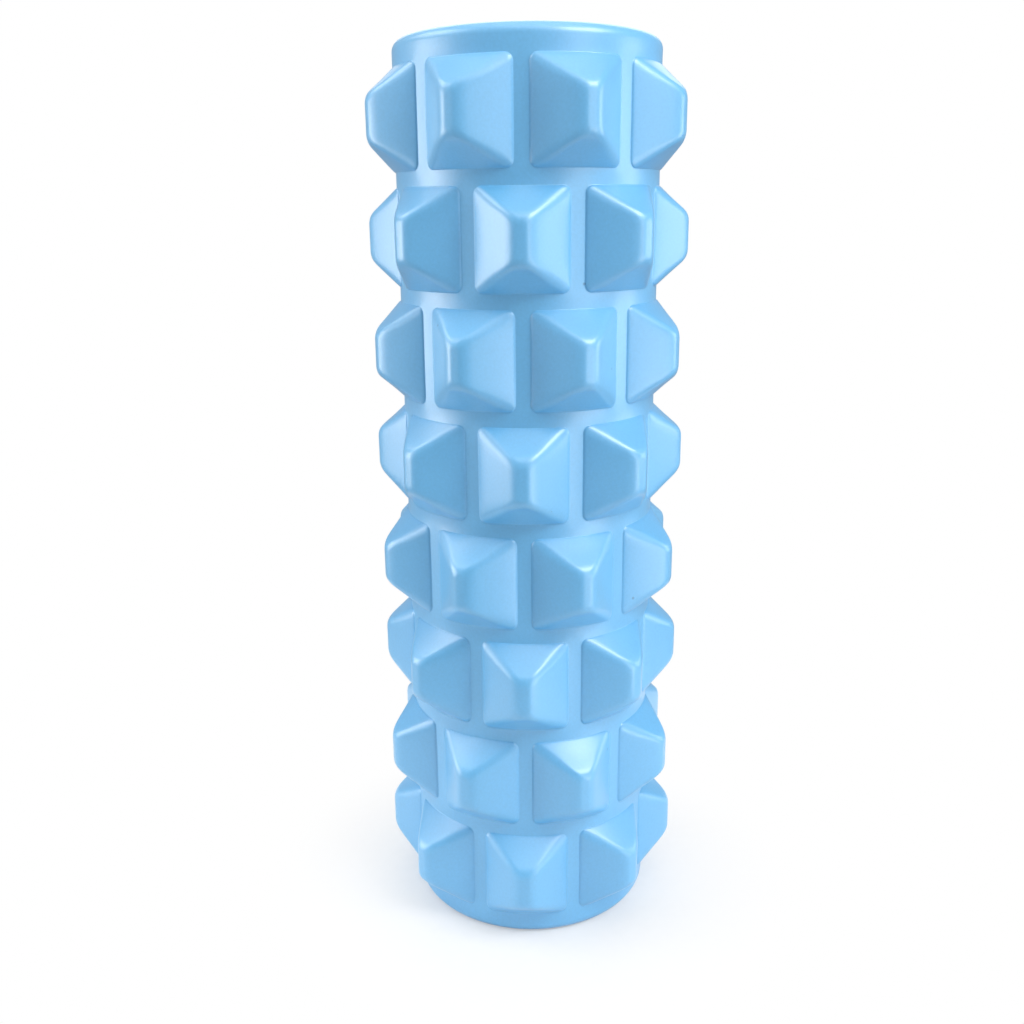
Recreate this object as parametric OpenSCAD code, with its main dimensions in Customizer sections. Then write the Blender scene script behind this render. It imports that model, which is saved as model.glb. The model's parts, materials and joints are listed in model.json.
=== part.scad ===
// Foam massage roller: a moulded foam sleeve with staggered pyramid lugs,
// bonded on a rigid hollow core tube. It stands on one end, with +Z along
// its axis and the origin at the centre of the lower end face. Millimetres.

/* [Sleeve] */
// Length of the foam sleeve, end face to end face
roller_len = 300; // [270:1:450]
// Diameter of the foam between the lugs
body_d = 86; // [76:1:120]
// Radius of the rounded outer edge at each end of the foam
end_round = 3.5; // [2:0.5:8]
// Radius of the rounded inner edge at each end of the foam
mouth_round = 1; // [0.5:0.25:1.5]

/* [Lugs] */
// Rows of lugs along the roller
rows = 8; // [4:1:8]
// Lugs around each row
lugs_per_row = 8; // [5:1:8]
// Height of a lug above the foam between the lugs
lug_h = 10; // [6:0.5:12]
// Width of a lug's foot, measured around the foam
lug_w = 29; // [16:0.5:30]
// Length of a lug's foot, along the roller
lug_len = 31; // [20:0.5:32]
// Width of the flat ridge on top of a lug
ridge_w = 5; // [3:0.5:8]
// Length of the flat ridge on top of a lug
ridge_len = 13.5; // [8:0.5:18]
// Plain foam between an end face and the first lug
end_margin = 8.5; // [8:0.25:14]

/* [Core] */
// Outside diameter of the core tube
core_d = 60; // [45:1:62]
// Wall thickness of the core tube
core_wall = 2.5; // [1.5:0.25:4]
// How far each end of the core tube lies inside the foam's end face
core_inset = 1.5; // [1:0.5:5]

/* [Hidden] */
$fn = 96;
foam_color = "#8cc8f4";
core_color = "#e9ecee";
body_r = body_d / 2;
core_r = core_d / 2;
// How far a lug's solid is sunk into the foam under it
root_sink = 1.2;
// From one row's centre to the next
row_pitch = (roller_len - 2 * end_margin - lug_len) / (rows - 1);
// Angle between neighbouring lugs of a row
lug_step = 360 / lugs_per_row;
// Half the angle that a lug's foot spans, and the corner of that foot
foot_angle = lug_w / (2 * PI * body_r) * 180;
foot_x = body_r * cos(foot_angle);
foot_y = body_r * sin(foot_angle);
// Slopes of a lug's faces: run out per unit of drop, around and along the roller
side_slope = (foot_y - ridge_w / 2) / (body_r + lug_h - foot_x);
end_slope = (lug_len - ridge_len) / (2 * lug_h);
core_len = roller_len - 2 * core_inset;

// Quarter round edge of radius r between two faces, as points from angle a0 on
function edge_arc(x, z, r, a0) =
    [for (i = [0 : 8]) [x + r * cos(a0 + i * 11.25), z + r * sin(a0 + i * 11.25)]];

// Half section of the plain foam, from the core tube out, x = radius
function body_section() = concat(
    edge_arc(core_r + mouth_round, mouth_round, mouth_round, 180),
    edge_arc(body_r - end_round, end_round, end_round, 270),
    edge_arc(body_r - end_round, roller_len - end_round, end_round, 0),
    edge_arc(core_r + mouth_round, roller_len - mouth_round, mouth_round, 90)
);

// Cross-section of one lug pointing along +X, its flanks run on into the foam
module lug_wedge() {
    root_x = foot_x - root_sink;
    root_y = foot_y + root_sink * side_slope;
    tip_x = body_r + lug_h + 1;
    polygon([
        [root_x, -root_y],
        [body_r + lug_h, -ridge_w / 2],
        [tip_x, -ridge_w / 2],
        [tip_x, ridge_w / 2],
        [body_r + lug_h, ridge_w / 2],
        [root_x, root_y]
    ]);
}

// Ring whose sloped ends are the end faces of a row of lugs
module lug_ring() {
    root_r = body_r - root_sink;
    root_half = lug_len / 2 + root_sink * end_slope;
    rotate_extrude()
        polygon([
            [root_r - 4, -root_half],
            [root_r, -root_half],
            [body_r + lug_h, -ridge_len / 2],
            [body_r + lug_h, ridge_len / 2],
            [root_r, root_half],
            [root_r - 4, root_half]
        ]);
}

// One row of lugs around the foam: the ring, cut into lugs by the wedges
module lug_row() {
    intersection() {
        lug_ring();
        translate([0, 0, -lug_len])
            linear_extrude(height = 2 * lug_len)
                for (i = [0 : lugs_per_row - 1])
                    rotate(i * lug_step - 90)
                        lug_wedge();
    }
}

// One-piece moulded foam sleeve with its lugs
module foam_sleeve() {
    color(foam_color)
        union() {
            rotate_extrude()
                polygon(body_section());
            for (k = [0 : rows - 1])
                translate([0, 0, end_margin + lug_len / 2 + k * row_pitch])
                    rotate((k % 2) * lug_step / 2)
                        lug_row();
        }
}

// Rigid hollow tube that the foam is bonded to
module core_tube() {
    color(core_color)
        translate([0, 0, core_inset])
            difference() {
                cylinder(h = core_len, r = core_r);
                translate([0, 0, -1])
                    cylinder(h = core_len + 2, r = core_r - core_wall);
            }
}

foam_sleeve();
core_tube();
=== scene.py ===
"""Foam roller: the moulded foam sleeve with its pyramid lugs, the core tube and the studio."""
import json
import math

import bmesh
import bpy
from bpy.props import FloatProperty, FloatVectorProperty, IntProperty, PointerProperty
from bpy.types import Operator, Panel, PropertyGroup
from mathutils import Matrix, Vector, noise


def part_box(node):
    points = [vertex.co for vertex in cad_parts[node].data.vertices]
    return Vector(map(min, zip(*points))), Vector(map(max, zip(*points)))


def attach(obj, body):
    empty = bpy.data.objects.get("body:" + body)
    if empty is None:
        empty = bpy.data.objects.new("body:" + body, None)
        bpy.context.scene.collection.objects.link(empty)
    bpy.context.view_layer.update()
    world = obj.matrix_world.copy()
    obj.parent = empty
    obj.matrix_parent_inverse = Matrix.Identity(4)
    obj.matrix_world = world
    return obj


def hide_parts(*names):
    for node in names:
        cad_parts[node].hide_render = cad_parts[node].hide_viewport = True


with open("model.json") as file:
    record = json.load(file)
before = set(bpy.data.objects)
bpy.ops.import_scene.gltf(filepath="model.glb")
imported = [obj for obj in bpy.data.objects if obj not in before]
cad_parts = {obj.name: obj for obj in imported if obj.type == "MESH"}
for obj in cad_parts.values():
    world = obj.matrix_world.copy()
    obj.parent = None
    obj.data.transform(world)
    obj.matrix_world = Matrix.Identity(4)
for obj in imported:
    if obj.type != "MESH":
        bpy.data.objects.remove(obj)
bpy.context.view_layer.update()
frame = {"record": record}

bl_info = {
    "name": "Foam Roller",
    "version": (1, 0, 0),
    "blender": (4, 5, 0),
    "location": "View3D > Sidebar > Foam Roller",
    "description": "Builds a moulded foam roller with pyramid lugs on a rigid core tube",
    "category": "Add Mesh",
}

MM = 0.001
SLEEVE_LOW, SLEEVE_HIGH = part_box("foam_sleeve")
TUBE_LOW, TUBE_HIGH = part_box("core_tube")
BORE_R = next(m["dims"]["r_mm"] for m in frame["record"]["mounts"] if m["name"] == "core_bore") * MM
MERGE_DIST = 0.005 * MM

# steps in the curves
FOOT_STEPS = 4           # each of the two curves at a lug's foot
RIDGE_STEPS = 5          # the curve from a flank to the ridge
RIM_STEPS = 8            # the foam's outer edge at each end
MOUTH_STEPS = 4          # the foam's inner edge at each end
TUBE_EDGE_STEPS = 3      # the tube's edges
FLOOR_STEPS = 96         # the floor's outline

# shape of a lug
FLANK_RINGS = ((0.05, 0.0), (0.25, 0.6), (0.5, 1.0), (0.75, 0.6), (0.94, 0.0))    # shares: height, dish
HIP_SHIFT = 0.2          # how far below half way the flanks' corners are roundest, as a share of height
RIDGE_FLAT_W = 0.45      # share of the ridge's width that stays flat
RIDGE_FLAT_END = 1.1     # where the flat ends: this many ridge rounds from the ridge's end
CORNER_LIMIT = 0.8       # largest corner radius on the ridge, as a share of its half width
LAST_W = 0.5             # half width of the ring inside the flat, as a share of the flat's half width
LAST_CORNER = 0.4        # and the radius of its corners
LAST_L = 0.93            # and its half length, as a share of the flat's half length

# narrow rings that keep the end face and the bore even beside their rounded edges
RIM_BORDER = 0.8 * MM
MOUTH_BORDER = 0.4 * MM
BORE_BORDER = 1.0 * MM

# unevenness of the skin
SLOW_LENGTH = 28 * MM    # length of the slow waves
FINE_LENGTH = 7 * MM     # length of the short waves
FINE_PLACE = Vector((7.3, 1.9, 4.1))    # keeps the short waves from repeating the slow ones
BORE_CLEAR = 2 * MM      # the foam this close to the tube stays even

# name, degrees round from -Y towards +X, degrees up, size in metres, watts; all stand 1 m off
SOFTBOXES = (
    ("left softbox", -90, 4, (0.36, 0.60), 3.05),
    ("left front softbox", -74, 4, (0.36, 0.60), 2.1),
    ("left upper softbox", -75, 45, (0.50, 0.40), 1.3),
    ("left rear upper softbox", -97, 45, (0.50, 0.40), 1.9),
    ("front upper softbox", 0, 60, (0.50, 0.40), 0.9),
    ("right front softbox", 45, 4, (0.36, 0.60), 1.3),
    ("right low softbox", 60, -15, (0.50, 0.40), 1.9),
    ("right upper softbox", 55, 45, (0.50, 0.40), 6.3),
    ("right rear softbox", 95, 4, (0.40, 0.50), 2.1),
    ("top softbox", 0, 88, (0.80, 0.80), 2.1),
    ("back softbox", 180, 40, (0.80, 0.60), 2.4),
)


# ---------------------------------------------------------------- helpers

def hex_colour(code):
    """Linear RGBA of an sRGB hex colour such as 7cbeee."""
    parts = [int(code[i:i + 2], 16) / 255 for i in (0, 2, 4)]
    return tuple(c / 12.92 if c <= 0.04045 else ((c + 0.055) / 1.055) ** 2.4 for c in parts) + (1.0,)


def add_node(tree, kind, inputs=None, **settings):
    """Adds a node, sets its properties, and fills its inputs with values or with other nodes' outputs."""
    made = tree.nodes.new(kind)
    for name, value in settings.items():
        setattr(made, name, value)
    for name, value in (inputs or {}).items():
        if isinstance(value, bpy.types.NodeSocket):
            tree.links.new(value, made.inputs[name])
        else:
            made.inputs[name].default_value = value
    return made


def new_material(name):
    """An empty node material and its tree."""
    material = bpy.data.materials.new(name)
    material.use_nodes = True
    material.node_tree.nodes.clear()
    return material, material.node_tree


def new_piece(name, bm, material, smooth=True):
    """Turns a bmesh into an object at the origin with one material."""
    mesh = bpy.data.meshes.new(name)
    bm.to_mesh(mesh)
    bm.free()
    mesh.materials.append(material)
    for face in mesh.polygons:
        face.use_smooth = smooth
    piece = bpy.data.objects.new(name, mesh)
    bpy.context.scene.collection.objects.link(piece)
    return piece


# ---------------------------------------------------------------- materials

def moulded_eva_foam(settings):
    """Closed-cell EVA foam with the skin it gets from a hot mould.

    The skin gives soft, wide highlights on a pale blue body. The fine cells under it give a faint
    grain, the pigment a slow unevenness, and trapped gas a few small open pores, each dented in
    and painted a darker blue as shade inside it.
    """
    material, tree = new_material("Closed-cell EVA foam, moulded skin")
    coord = add_node(tree, "ShaderNodeTexCoord").outputs["Object"]
    # pigment drifts over about 30 mm
    drift = add_node(tree, "ShaderNodeTexNoise", {"Vector": coord, "Scale": 1 / 0.030, "Detail": 2.0})
    # cells are about 0.3 mm: drawn at 0.9 mm so that they show
    cells = add_node(tree, "ShaderNodeTexNoise", {"Vector": coord, "Scale": 1 / 0.0009, "Detail": 3.0,
                                                  "Roughness": 0.6})
    # one place for a pore every 9 mm, of which one in six is open, each up to 1 mm across
    pores = add_node(tree, "ShaderNodeTexVoronoi", {"Vector": coord, "Scale": 1 / 0.009})
    open_pore = add_node(tree, "ShaderNodeMath", {0: pores.outputs["Distance"], 1: 0.055},
                         operation="LESS_THAN")
    pick = add_node(tree, "ShaderNodeSeparateColor", {"Color": pores.outputs["Color"]})
    chosen = add_node(tree, "ShaderNodeMath", {0: pick.outputs["Red"], 1: 0.16}, operation="LESS_THAN")
    shaded_pore = add_node(tree, "ShaderNodeMath", {0: open_pore.outputs[0], 1: chosen.outputs[0]},
                    operation="MULTIPLY")
    body = add_node(tree, "ShaderNodeMix", {0: drift.outputs["Fac"], 6: tuple(settings.foam_deep) + (1.0,),
                                            7: tuple(settings.foam_pale) + (1.0,)},
                    data_type="RGBA")
    grain = add_node(tree, "ShaderNodeMapRange", {"Value": cells.outputs["Fac"], "From Min": 0.3,
                                                  "From Max": 0.7, "To Min": 0.96, "To Max": 1.04})
    grained = add_node(tree, "ShaderNodeVectorMath", {0: body.outputs[2], "Scale": grain.outputs[0]},
                       operation="SCALE")
    # an open pore is painted a darker blue: painted shade inside the hole, on top of its dent in the bump
    colour = add_node(tree, "ShaderNodeMix", {0: shaded_pore.outputs[0], 6: grained.outputs[0],
                                              7: hex_colour("4d8dbb")}, data_type="RGBA")
    gloss = add_node(tree, "ShaderNodeMapRange", {"Value": drift.outputs["Fac"], "From Min": 0.3,
                                                  "From Max": 0.7, "To Min": 0.42, "To Max": 0.50})
    # a pore is deeper than the grain
    height = add_node(tree, "ShaderNodeMath", {0: shaded_pore.outputs[0], 1: -2.0, 2: cells.outputs["Fac"]},
                      operation="MULTIPLY_ADD")
    bump = add_node(tree, "ShaderNodeBump", {"Height": height.outputs[0], "Distance": 0.00003,
                                             "Strength": 0.6})
    shader = add_node(tree, "ShaderNodeBsdfPrincipled", {
        "Base Color": colour.outputs[2], "Roughness": gloss.outputs[0], "IOR": 1.50,
        "Specular IOR Level": 1.0, "Coat Weight": 0.8, "Coat Roughness": 0.28,
        "Normal": bump.outputs[0]})
    add_node(tree, "ShaderNodeOutputMaterial", {"Surface": shader.outputs[0]})
    return material


def extruded_abs(settings):
    """ABS tube as it leaves the extruder: pale, satin, with faint die lines along its length."""
    material, tree = new_material("ABS, extruded tube")
    coord = add_node(tree, "ShaderNodeTexCoord").outputs["Object"]
    # die lines are about 1.2 mm apart round the tube and run along it
    along = add_node(tree, "ShaderNodeMapping", {"Vector": coord, "Scale": (1.0, 1.0, 0.01)})
    lines = add_node(tree, "ShaderNodeTexNoise", {"Vector": along.outputs[0], "Scale": 1 / 0.0012,
                                                  "Detail": 2.0})
    cloud = add_node(tree, "ShaderNodeTexNoise", {"Vector": coord, "Scale": 1 / 0.020, "Detail": 2.0})
    tint = add_node(tree, "ShaderNodeMapRange", {"Value": lines.outputs["Fac"], "From Min": 0.3,
                                                 "From Max": 0.7, "To Min": 0.95, "To Max": 1.0})
    colour = add_node(tree, "ShaderNodeVectorMath", {0: tuple(settings.tube_colour),
                                                     "Scale": tint.outputs[0]}, operation="SCALE")
    gloss = add_node(tree, "ShaderNodeMapRange", {"Value": cloud.outputs["Fac"], "From Min": 0.3,
                                                  "From Max": 0.7, "To Min": 0.34, "To Max": 0.44})
    bump = add_node(tree, "ShaderNodeBump", {"Height": lines.outputs["Fac"], "Distance": 0.00002,
                                             "Strength": 0.5})
    shader = add_node(tree, "ShaderNodeBsdfPrincipled", {
        "Base Color": colour.outputs[0], "Roughness": gloss.outputs[0], "IOR": 1.54,
        "Normal": bump.outputs[0]})
    add_node(tree, "ShaderNodeOutputMaterial", {"Surface": shader.outputs[0]})
    return material


def studio_sweep(settings):
    """White acrylic sweep: matt with a trace of tooth, and lit from behind away from the middle."""
    material, tree = new_material("Sweep, matt white acrylic")
    coord = add_node(tree, "ShaderNodeTexCoord").outputs["Object"]
    tooth = add_node(tree, "ShaderNodeTexNoise", {"Vector": coord, "Scale": 1 / 0.004, "Detail": 2.0})
    colour = add_node(tree, "ShaderNodeMix", {0: tooth.outputs["Fac"], 6: hex_colour("e2e4e6"),
                                              7: hex_colour("e9eaeb")}, data_type="RGBA")
    paper = add_node(tree, "ShaderNodeBsdfPrincipled", {"Base Color": colour.outputs[2], "Roughness": 0.9})
    # the light behind the sheet is seen away from the roller, and lights nothing
    reach = add_node(tree, "ShaderNodeVectorMath", {0: coord}, operation="LENGTH")
    far = add_node(tree, "ShaderNodeMapRange", {
        "Value": reach.outputs["Value"], "From Min": settings.glow_from, "From Max": settings.glow_full},
        interpolation_type="SMOOTHSTEP")
    path = add_node(tree, "ShaderNodeLightPath")
    share = add_node(tree, "ShaderNodeMath", {0: far.outputs[0], 1: path.outputs["Is Camera Ray"]},
                     operation="MULTIPLY")
    glow = add_node(tree, "ShaderNodeEmission", {"Color": (1.0, 1.0, 1.0, 1.0), "Strength": 1.0})
    sheet = add_node(tree, "ShaderNodeMixShader", {0: share.outputs[0], 1: paper.outputs[0],
                                                   2: glow.outputs[0]})
    add_node(tree, "ShaderNodeOutputMaterial", {"Surface": sheet.outputs[0]})
    return material


# ---------------------------------------------------------------- shapes

def squeeze(value, old_half, old_corner, new_half, new_corner):
    """Fits one coordinate of a round-cornered rectangle to another such rectangle."""
    inner = old_half - old_corner
    if abs(value) <= inner:
        return value * (new_half - new_corner) / inner
    beyond = (abs(value) - inner) * new_corner / old_corner
    return math.copysign(new_half - new_corner + beyond, value)


def rectangle_loop(bm, width, length, corner, cuts_wide, cuts_long, corner_segments):
    """A closed loop of edges round a rectangle, its corners rounded if a radius is given."""
    made = bmesh.ops.create_grid(bm, x_segments=1, y_segments=1, size=0.5,
                                 matrix=Matrix.Diagonal((width, length, 1.0, 1.0)))
    verts = made["verts"]
    if corner:
        made = bmesh.ops.bevel(bm, geom=verts, offset=corner, offset_type="OFFSET", affect="VERTICES",
                               segments=corner_segments, profile=0.5, material=-1)
        verts = made["verts"]
    # dict.fromkeys drops repeats and keeps the order the same from run to run
    faces = list(dict.fromkeys(f for v in verts for f in v.link_faces))
    edges = list(dict.fromkeys(e for f in faces for e in f.edges))
    bmesh.ops.delete(bm, geom=faces, context="FACES_ONLY")
    # the long edges are the straight sides; the corners' edges are short
    wide = [e for e in edges if abs(e.verts[0].co.x - e.verts[1].co.x) > width / 2]
    tall = [e for e in edges if abs(e.verts[0].co.y - e.verts[1].co.y) > length / 2]
    new = bmesh.ops.subdivide_edges(bm, edges=wide, cuts=cuts_wide)["geom_split"]
    new += bmesh.ops.subdivide_edges(bm, edges=tall, cuts=cuts_long)["geom_split"]
    split = dict.fromkeys(edges + [g for g in new if isinstance(g, bmesh.types.BMEdge)])
    return [e for e in split if e.is_valid]


def lug_profile(s):
    """Rings of a lug from its foot to its ridge, as half width, half length, corner radius, height."""
    foot_w, foot_l = s.foot_width / 2, s.foot_length / 2
    top_w, top_l, top = s.ridge_width / 2, s.ridge_length / 2, s.lug_height
    # hollow curve from the foam up to the foot's steepest part, then the round from there to the flank
    steep = s.foot_slope
    flank = math.atan2(top, (foot_w - top_w + foot_l - top_l) / 2)
    section = []
    for k in range(FOOT_STEPS + 1):
        a = steep * k / FOOT_STEPS
        out = s.foot_fillet * (math.sin(steep) - math.sin(a))
        section.append((out, s.foot_fillet * (1 - math.cos(a))))
    for k in range(1, FOOT_STEPS + 1):
        a = steep + (flank - steep) * k / FOOT_STEPS
        out = s.foot_round * (math.sin(a) - math.sin(steep))
        over = s.foot_round * (math.cos(a) - math.cos(steep))
        section.append((out, s.foot_fillet * (1 - math.cos(steep)) + over))
    rings = [(foot_w + out, foot_l + out, s.foot_corner + out / 2, up) for out, up in section]
    low_w, low_l, low_corner, low = rings[-1]
    slope_w = (low_w - top_w) / (top - low)
    slope_l = (low_l - top_l) / (top - low)
    # straight flanks, pulled in a little half way up, their corners roundest below that
    edge = top - s.ridge_round
    for share, dish in FLANK_RINGS:
        up = low + (edge - low) * share
        hollow = s.flank_dish * dish
        swell = max(0.0, s.hip_round - s.ridge_corner) * math.sin(math.pi * min(1.0, share + HIP_SHIFT))
        rings.append((low_w - slope_w * (up - low) - hollow, low_l - slope_l * (up - low) - hollow,
                      low_corner + (s.ridge_corner - low_corner) * share + swell, up))
    # rounded edge between the flanks and the flat ridge
    start_w, start_l = top_w + slope_w * s.ridge_round, top_l + slope_l * s.ridge_round
    end_w, end_l = top_w * RIDGE_FLAT_W, top_l - RIDGE_FLAT_END * s.ridge_round
    for k in range(RIDGE_STEPS + 1):
        t = k / RIDGE_STEPS
        a, b, c = (1 - t) ** 2, 2 * t * (1 - t), t * t
        half_w = a * start_w + b * top_w + c * end_w
        half_l = a * start_l + b * top_l + c * end_l
        corner = min(s.ridge_corner, half_w * CORNER_LIMIT)
        rings.append((half_w, half_l, corner, a * edge + (b + c) * top))
    # the last ring lies inside the flat, so that the faces in the middle stay even
    rings.append((end_w * LAST_W, end_l * LAST_L, end_w * LAST_CORNER, top))
    return rings


def lug_tile(bm, s, cell_width, cell_length):
    """One lug and the plain foam round it, laid flat: x runs round the roller, y along it, z outwards."""
    wide, tall, corner = s.wide_segments, s.long_segments, s.corner_segments
    border = rectangle_loop(bm, cell_width, cell_length, 0, wide + corner - 1, tall + corner - 1, corner)
    rings = lug_profile(s)
    half_w, half_l, radius, _ = rings[0]
    outline = rectangle_loop(bm, 2 * half_w, 2 * half_l, radius, wide - 1, tall - 1, corner)
    bmesh.ops.bridge_loops(bm, edges=border + outline)
    cap = bmesh.ops.edgeloop_fill(bm, edges=outline)["faces"]
    # where each corner of the cap lies on the foot's outline
    source = {v: v.co.copy() for v in cap[0].verts}
    for ring_w, ring_l, ring_corner, up in rings[1:]:
        old = list(cap[0].verts)
        made = bmesh.ops.extrude_face_region(bm, geom=cap)["geom"]
        bmesh.ops.delete(bm, geom=cap, context="FACES_ONLY")
        cap = [g for g in made if isinstance(g, bmesh.types.BMFace)]
        new = [g for g in made if isinstance(g, bmesh.types.BMVert)]
        source = {v: source[min(old, key=lambda u: (u.co - v.co).length_squared)] for v in new}
        for v, flat in source.items():
            v.co = Vector((squeeze(flat.x, half_w, radius, ring_w, ring_corner),
                           squeeze(flat.y, half_l, radius, ring_l, ring_corner), up))
    # the ridge's top is a grid of faces between the ring's two short sides
    straight = half_l - MERGE_DIST
    ends = [e for e in cap[0].edges if all(abs(source[v].y) > straight for v in e.verts)]
    bmesh.ops.delete(bm, geom=cap, context="FACES_ONLY")
    bmesh.ops.grid_fill(bm, edges=ends)


def wrap_round(bm, body_r):
    """Bends flat foam round the Z axis, its middle towards -Y."""
    for v in bm.verts:
        reach = body_r + v.co.z
        angle = v.co.x / reach
        v.co = Vector((reach * math.sin(angle), -reach * math.cos(angle), v.co.y))


def quarter(steps):
    """Angles of a quarter turn, both ends included."""
    return [math.pi / 2 * k / steps for k in range(steps + 1)]


def rim_section(body_r, s):
    """Section of an end from the side of the foam to its bore, as radius and height above the end."""
    core_r, outer_round, inner_round = s.core_radius, s.end_round, s.mouth_round
    outer = [(body_r - outer_round * (1 - math.cos(a)), outer_round * (1 - math.sin(a)))
             for a in quarter(RIM_STEPS)]
    inner = [(core_r + inner_round * (1 - math.sin(a)), inner_round * (1 - math.cos(a)))
             for a in quarter(MOUTH_STEPS)]
    flat = [(body_r - outer_round - RIM_BORDER, 0.0), ((body_r + core_r) / 2, 0.0),
            (core_r + inner_round + MOUTH_BORDER, 0.0)]
    return outer + flat + inner + [(core_r, inner_round + BORE_BORDER)]


def close_end(bm, edges, section, height_of):
    """Carries a boundary loop along a section, ring by ring, and returns the last ring's edges."""
    for radius, up in section:
        made = bmesh.ops.extrude_edge_only(bm, edges=edges)["geom"]
        ring = [g for g in made if isinstance(g, bmesh.types.BMVert)]
        edges = [g for g in made if isinstance(g, bmesh.types.BMEdge) and all(v in ring for v in g.verts)]
        for v in ring:
            scale = radius / math.hypot(v.co.x, v.co.y)
            v.co = Vector((v.co.x * scale, v.co.y * scale, height_of(up)))
    return edges


def soften(bm, s):
    """Moves the skin in and out by the small unevenness that foam keeps from the mould."""
    bm.normal_update()
    moves = []
    for v in bm.verts:
        if not s.quiet_end <= v.co.z <= SLEEVE_HIGH[2] - s.quiet_end:
            continue
        if math.hypot(v.co.x, v.co.y) < s.core_radius + BORE_CLEAR:
            continue
        slow = noise.noise(v.co / SLOW_LENGTH)
        fine = noise.noise(v.co / FINE_LENGTH + FINE_PLACE)
        moves.append((v, v.normal * (slow * s.slow_wave + fine * s.fine_wave)))
    for v, move in moves:
        v.co += move


def sleeve_mesh(s):
    """The whole foam sleeve as one closed skin."""
    body_r = SLEEVE_HIGH[0] - s.lug_height
    cell_width = 2 * math.pi * body_r / s.lugs_per_row
    height = SLEEVE_HIGH[2] - SLEEVE_LOW[2]
    pitch = (height - 2 * s.end_margin - s.foot_length) / (s.rows - 1)
    bm = bmesh.new()
    lug_tile(bm, s, cell_width, pitch)
    wrap_round(bm, body_r)
    tile = bm.verts[:] + bm.edges[:] + bm.faces[:]
    first_z = SLEEVE_LOW[2] + s.end_margin + s.foot_length / 2
    step = 2 * math.pi / s.lugs_per_row
    for row in range(s.rows):
        for place in range(s.lugs_per_row):
            copy = bmesh.ops.duplicate(bm, geom=tile)["geom"]
            verts = [g for g in copy if isinstance(g, bmesh.types.BMVert)]
            turn = step * (place + (row % 2) / 2)
            move = Matrix.Translation((0, 0, first_z + row * pitch)) @ Matrix.Rotation(turn, 4, "Z")
            bmesh.ops.transform(bm, matrix=move, verts=verts)
    bmesh.ops.delete(bm, geom=[g for g in tile if isinstance(g, bmesh.types.BMVert)], context="VERTS")
    bmesh.ops.remove_doubles(bm, verts=bm.verts, dist=MERGE_DIST)
    open_edges = [e for e in bm.edges if e.is_boundary]
    middle = (SLEEVE_LOW[2] + SLEEVE_HIGH[2]) / 2
    section = rim_section(body_r, s)
    low = close_end(bm, [e for e in open_edges if e.verts[0].co.z < middle], section,
                    lambda up: SLEEVE_LOW[2] + up)
    high = close_end(bm, [e for e in open_edges if e.verts[0].co.z > middle], section,
                     lambda up: SLEEVE_HIGH[2] - up)
    bmesh.ops.bridge_loops(bm, edges=low + high)
    bmesh.ops.recalc_face_normals(bm, faces=bm.faces)
    soften(bm, s)
    return bm


def tube_mesh(s):
    """The core tube: a wall section with broken edges, spun round the axis."""
    outer_r = TUBE_HIGH[0]
    height = TUBE_HIGH[2] - TUBE_LOW[2]
    wall = outer_r - BORE_R
    bm = bmesh.new()
    place = (Matrix.Translation((BORE_R + wall / 2, 0, TUBE_LOW[2] + height / 2))
             @ Matrix.Rotation(math.pi / 2, 4, "X") @ Matrix.Diagonal((wall, height, 1.0, 1.0)))
    corners = bmesh.ops.create_grid(bm, x_segments=1, y_segments=1, size=0.5, matrix=place)["verts"]
    bmesh.ops.bevel(bm, geom=corners, offset=s.tube_edge, offset_type="OFFSET", affect="VERTICES",
                    segments=TUBE_EDGE_STEPS, profile=0.5, material=-1)
    bmesh.ops.delete(bm, geom=bm.faces[:], context="FACES_ONLY")
    bmesh.ops.spin(bm, geom=bm.verts[:] + bm.edges[:], cent=(0, 0, 0), axis=(0, 0, 1),
                   angle=2 * math.pi, steps=s.tube_segments, use_merge=True)
    bmesh.ops.remove_doubles(bm, verts=bm.verts, dist=MERGE_DIST)
    bmesh.ops.recalc_face_normals(bm, faces=bm.faces)
    return bm


# ---------------------------------------------------------------- settings

def length_of(name, description, default):
    """A length setting in metres."""
    return FloatProperty(name=name, description=description, default=default, min=0.0,
                         subtype="DISTANCE", unit="LENGTH", precision=5)


def count_of(name, description, default, low):
    """A setting that counts rows or faces."""
    return IntProperty(name=name, description=description, default=default, min=low)


def angle_of(name, description, degrees):
    """An angle setting, its default given in degrees."""
    return FloatProperty(name=name, description=description, default=math.radians(degrees),
                         subtype="ANGLE")


def colour_of(name, description, code):
    """A colour setting, its default given as an sRGB hex colour."""
    return FloatVectorProperty(name=name, description=description, size=3, subtype="COLOR",
                               default=hex_colour(code)[:3])


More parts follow.
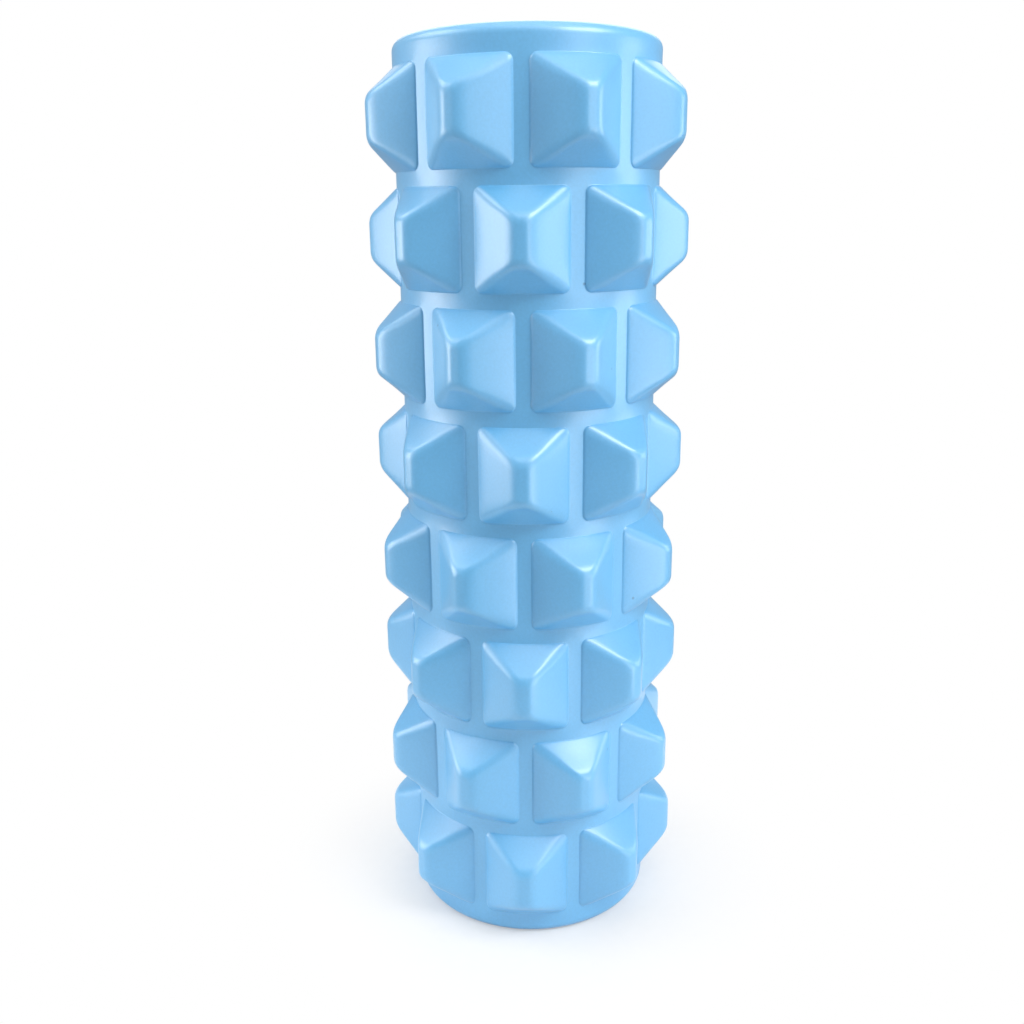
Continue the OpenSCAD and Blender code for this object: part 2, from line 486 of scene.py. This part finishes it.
class SleeveSettings(PropertyGroup):
    """Sizes of the foam sleeve and its lugs."""
    rows: count_of("Rows", "Rows of lugs along the roller", 8, 2)
    lugs_per_row: count_of("Lugs per row", "Lugs around each row", 8, 4)
    lug_height: length_of("Lug height", "Height of a lug above the plain foam", 10 * MM)
    foot_width: length_of("Foot width", "Width of a lug's foot round the foam", 29.0 * MM)
    foot_length: length_of("Foot length", "Length of a lug's foot along the roller", 31.0 * MM)
    foot_corner: length_of("Foot corner", "Corner radius of a lug's foot", 2.3 * MM)
    foot_fillet: length_of("Foot fillet", "Radius of the hollow curve from a lug to the foam", 0.3 * MM)
    foot_slope: angle_of("Foot slope", "Steepest angle of a lug's foot above the foam", 68)
    foot_round: length_of("Foot round", "Radius of the curve from a lug's foot to its flank", 1.0 * MM)
    ridge_width: length_of("Ridge width", "Width of the flat ridge", 5.0 * MM)
    ridge_length: length_of("Ridge length", "Length of the flat ridge", 13.5 * MM)
    hip_round: length_of("Hip round", "Rounding of the sloping edges half way up", 2.7 * MM)
    ridge_corner: length_of("Ridge corner", "Rounding of the sloping edges at the ridge", 2.0 * MM)
    ridge_round: length_of("Ridge round", "Height over which the ridge's edge is rounded", 1.7 * MM)
    flank_dish: length_of("Flank dish", "How far the middle of a flank sinks in", 0.15 * MM)
    end_margin: length_of("End margin", "Plain foam between an end and the first lug", 8.5 * MM)
    end_round: length_of("End round", "Radius of the outer edge at each end", 3.5 * MM)
    mouth_round: length_of("Mouth round", "Radius of the inner edge at each end", 1.0 * MM)
    core_radius: length_of("Core radius", "Radius of the hole that the tube fills", TUBE_HIGH[0])
    slow_wave: length_of("Slow unevenness", "Depth of the slow waves in the skin", 0.12 * MM)
    fine_wave: length_of("Fine unevenness", "Depth of the short waves in the skin", 0.03 * MM)
    quiet_end: length_of("Quiet end", "Length at each end that stays even", 5.2 * MM)
    wide_segments: count_of("Wide segments", "Faces across a lug's foot", 12, 2)
    long_segments: count_of("Long segments", "Faces along a lug's foot", 8, 2)
    corner_segments: count_of("Corner segments", "Faces round a corner", 4, 2)


class TubeSettings(PropertyGroup):
    """Sizes of the core tube's finish."""
    tube_edge: length_of("Broken edge", "Radius of the edges at the tube's ends", 0.35 * MM)
    tube_segments: count_of("Segments", "Faces round the tube", 128, 16)


class FinishSettings(PropertyGroup):
    """Colours of the pieces."""
    foam_pale: colour_of("Pale foam", "Where the pigment is thin", "66b2e3")
    foam_deep: colour_of("Deep foam", "Where the pigment is dense", "5dacdc")
    tube_colour: colour_of("Tube", "Colour of the core tube", "e6eaec")


class StageSettings(PropertyGroup):
    """Where the camera stands and how bright the lights are."""
    camera_distance: length_of("Camera distance", "From the roller's axis", 365.4 * MM)
    camera_height: length_of("Camera height", "Above the floor", 249.4 * MM)
    camera_round: angle_of("Camera round", "Angle round the roller from -Y towards +X", 2.25)
    camera_turn: angle_of("Camera turn", "Turn of the view off the axis, to the right", -0.97)
    camera_pitch: angle_of("Camera pitch", "Tilt of the view, up", -16.04)
    camera_roll: angle_of("Camera roll", "Roll of the camera, anticlockwise from behind it", -0.55)
    lens: FloatProperty(name="Lens", description="Focal length on a 36 mm sensor, in mm", default=37.26)
    floor_radius: length_of("Floor radius", "Radius of the round floor", 0.25)
    glow_from: length_of("Glow from", "Distance from the middle where the floor's own light starts", 0.0)
    glow_full: length_of("Glow full", "Distance from the middle where it is at its full strength", 0.105)
    fill: FloatProperty(name="Fill", description="Strength of the even light from all round",
                        default=0.34, min=0.0)


# ---------------------------------------------------------------- operators

class ROLLER_OT_sleeve(Operator):
    """Build the moulded foam sleeve with its lugs"""
    bl_idname = "roller.sleeve"
    bl_label = "Foam sleeve"

    def execute(self, context):
        scene = context.scene
        bm = sleeve_mesh(scene.roller_sleeve)
        piece = new_piece("foam_sleeve_moulding", bm, moulded_eva_foam(scene.roller_finish))
        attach(piece, "root")
        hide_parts("foam_sleeve")
        return {"FINISHED"}


class ROLLER_OT_tube(Operator):
    """Build the rigid core tube"""
    bl_idname = "roller.tube"
    bl_label = "Core tube"

    def execute(self, context):
        scene = context.scene
        bm = tube_mesh(scene.roller_tube)
        piece = new_piece("core_tube_extrusion", bm, extruded_abs(scene.roller_finish))
        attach(piece, "root")
        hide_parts("core_tube")
        return {"FINISHED"}


class ROLLER_OT_stage(Operator):
    """Set up the floor, the lights and the camera"""
    bl_idname = "roller.stage"
    bl_label = "Stage"

    def execute(self, context):
        scene = context.scene
        s = scene.roller_stage
        self.place_camera(scene, s)
        bm = bmesh.new()
        bmesh.ops.create_circle(bm, cap_ends=True, segments=FLOOR_STEPS, radius=s.floor_radius)
        new_piece("floor", bm, studio_sweep(s), smooth=False)
        middle = Vector((0, 0, SLEEVE_HIGH[2] / 2))
        for name, around, up, size, power in SOFTBOXES:
            self.add_softbox(scene, middle, name, around, up, size, power)
        self.add_world(scene, s)
        scene.view_settings.view_transform = "Standard"
        return {"FINISHED"}

    def place_camera(self, scene, s):
        data = bpy.data.cameras.new("camera")
        data.lens = s.lens
        data.sensor_width = 36.0
        data.clip_start, data.clip_end = 10 * MM, 50.0
        camera = bpy.data.objects.new("camera", data)
        scene.collection.objects.link(camera)
        camera.matrix_world = (
            Matrix.Rotation(s.camera_round, 4, "Z")
            @ Matrix.Translation((0, -s.camera_distance, s.camera_height))
            @ Matrix.Rotation(-s.camera_turn, 4, "Z")
            @ Matrix.Rotation(math.pi / 2 + s.camera_pitch, 4, "X")
            @ Matrix.Rotation(s.camera_roll, 4, "Z")
        )
        scene.camera = camera

    def add_softbox(self, scene, middle, name, around, up, size, power):
        data = bpy.data.lights.new(name, "AREA")
        data.shape = "RECTANGLE"
        data.size, data.size_y = size
        data.energy = power
        light = bpy.data.objects.new(name, data)
        scene.collection.objects.link(light)
        around, up = math.radians(around), math.radians(up)
        away = Vector((math.sin(around) * math.cos(up), -math.cos(around) * math.cos(up), math.sin(up)))
        light.location = middle + away
        light.rotation_euler = (-away).to_track_quat("-Z", "Y").to_euler()
        light.visible_camera = False

    def add_world(self, scene, s):
        """White behind the roller, and only a little light from it."""
        world = bpy.data.worlds.new("studio")
        world.use_nodes = True
        tree = world.node_tree
        tree.nodes.clear()
        fill = add_node(tree, "ShaderNodeBackground", {"Color": (1.0, 1.0, 1.0, 1.0), "Strength": s.fill})
        seen = add_node(tree, "ShaderNodeBackground", {"Color": (1.0, 1.0, 1.0, 1.0), "Strength": 1.0})
        path = add_node(tree, "ShaderNodeLightPath")
        either = add_node(tree, "ShaderNodeMixShader", {0: path.outputs["Is Camera Ray"],
                                                        1: fill.outputs[0], 2: seen.outputs[0]})
        add_node(tree, "ShaderNodeOutputWorld", {"Surface": either.outputs[0]})
        scene.world = world


class VIEW3D_PT_foam_roller(Panel):
    """Lists the roller's pieces"""
    bl_label = "Foam Roller"
    bl_space_type = "VIEW_3D"
    bl_region_type = "UI"
    bl_category = "Foam Roller"

    def draw(self, context):
        for operator in (ROLLER_OT_sleeve, ROLLER_OT_tube, ROLLER_OT_stage):
            self.layout.operator(operator.bl_idname)


SETTINGS = {
    "roller_sleeve": SleeveSettings,
    "roller_tube": TubeSettings,
    "roller_finish": FinishSettings,
    "roller_stage": StageSettings,
}
CLASSES = (*SETTINGS.values(), ROLLER_OT_sleeve, ROLLER_OT_tube, ROLLER_OT_stage, VIEW3D_PT_foam_roller)


def register():
    for cls in CLASSES:
        bpy.utils.register_class(cls)
    for name, group in SETTINGS.items():
        setattr(bpy.types.Scene, name, PointerProperty(type=group))


def unregister():
    for name in SETTINGS:
        delattr(bpy.types.Scene, name)
    for cls in reversed(CLASSES):
        bpy.utils.unregister_class(cls)


def main():
    register()
    bpy.ops.roller.stage()
    bpy.ops.roller.sleeve()
    bpy.ops.roller.tube()


if __name__ == "__main__":
    main()
